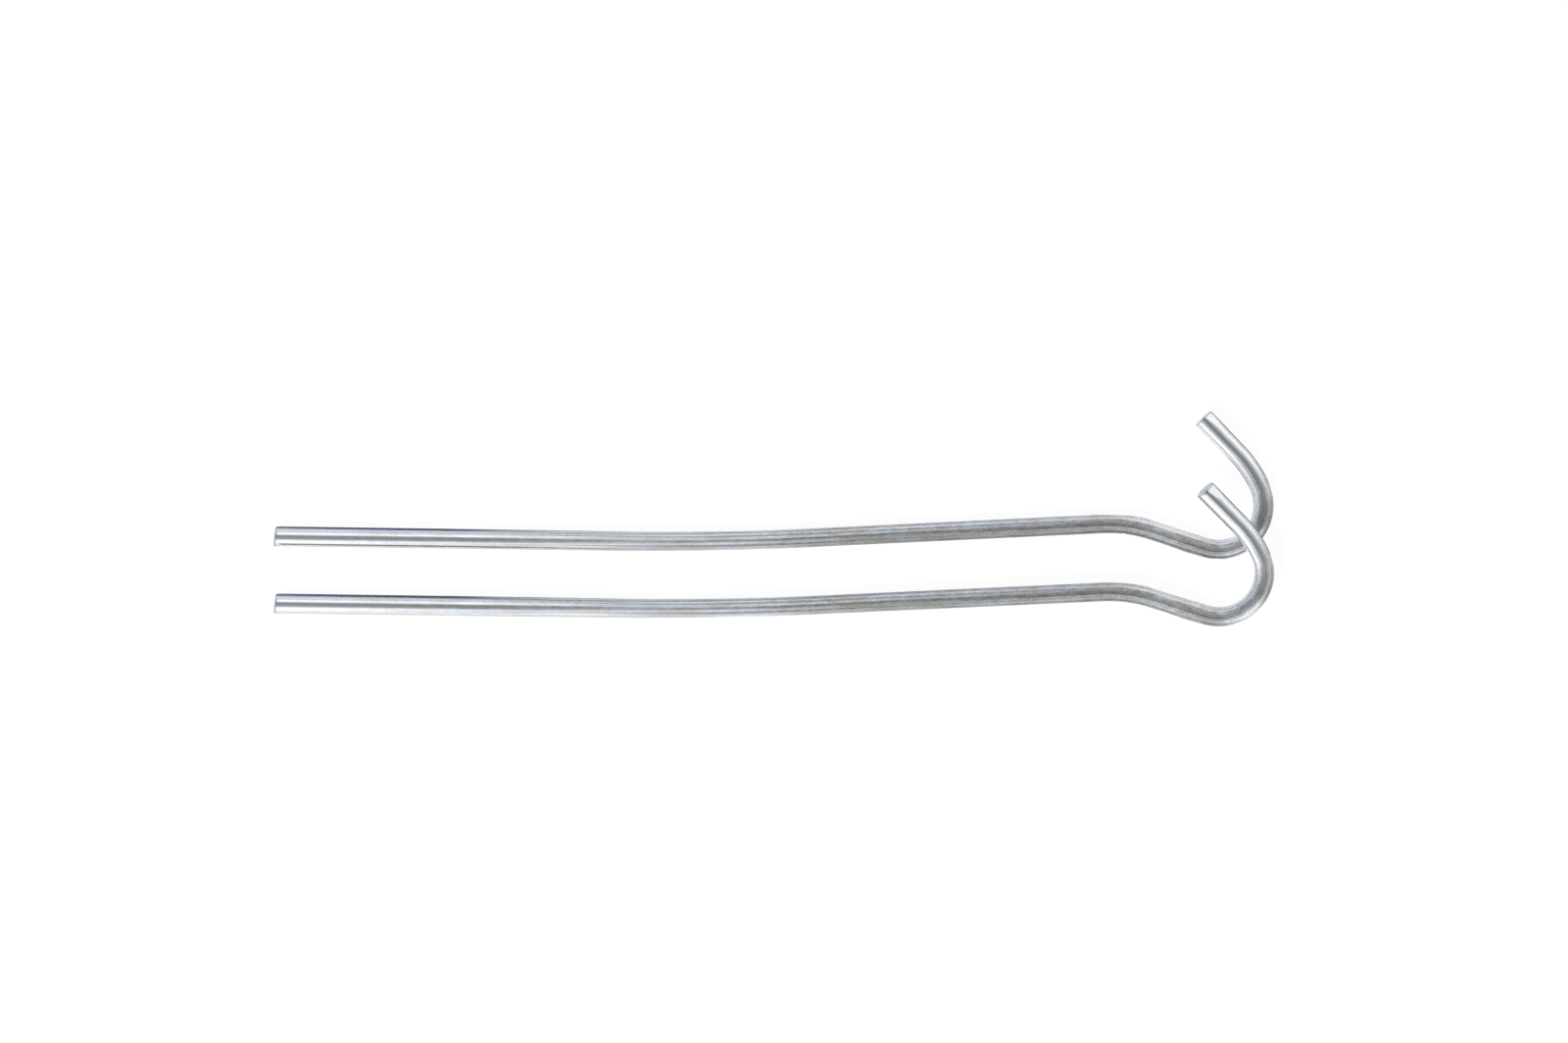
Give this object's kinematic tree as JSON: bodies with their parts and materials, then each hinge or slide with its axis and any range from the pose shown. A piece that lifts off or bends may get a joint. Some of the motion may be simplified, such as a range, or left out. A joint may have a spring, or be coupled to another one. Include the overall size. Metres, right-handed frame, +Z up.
{
  "type": "tent stake",
  "caption": "Round-wire tent stakes with a straight shaft, a cranked neck and an open hook that holds a guy line, lying hook over hook.",
  "frame": {"origin": "centre of the base of the two stakes' common bounding box, on the surface that they lie on", "axes": "+X along the shafts from the points to the hooks, +Y from the front stake towards the rear one and the way the hooks turn up, +Z up out of the surface"},
  "size_m": [0.225, 0.0484, 0.0119],
  "materials": {
    "zinc_plated_wire": "bright zinc plate on drawn steel wire: near mirror along the shaft with fine lengthwise drawing lines, duller and mottled at the neck and hook"
  },
  "bodies": {
    "rear_stake": {"rear_stake": "zinc_plated_wire"},
    "front_stake": {"front_stake": "zinc_plated_wire"}
  },
  "joints": [
    {"name": "front_stake_lift", "type": "slide", "parent": "rear_stake", "child": "front_stake", "axis": [0, 0, 1], "range_m": [0, 0.06]}
  ]
}
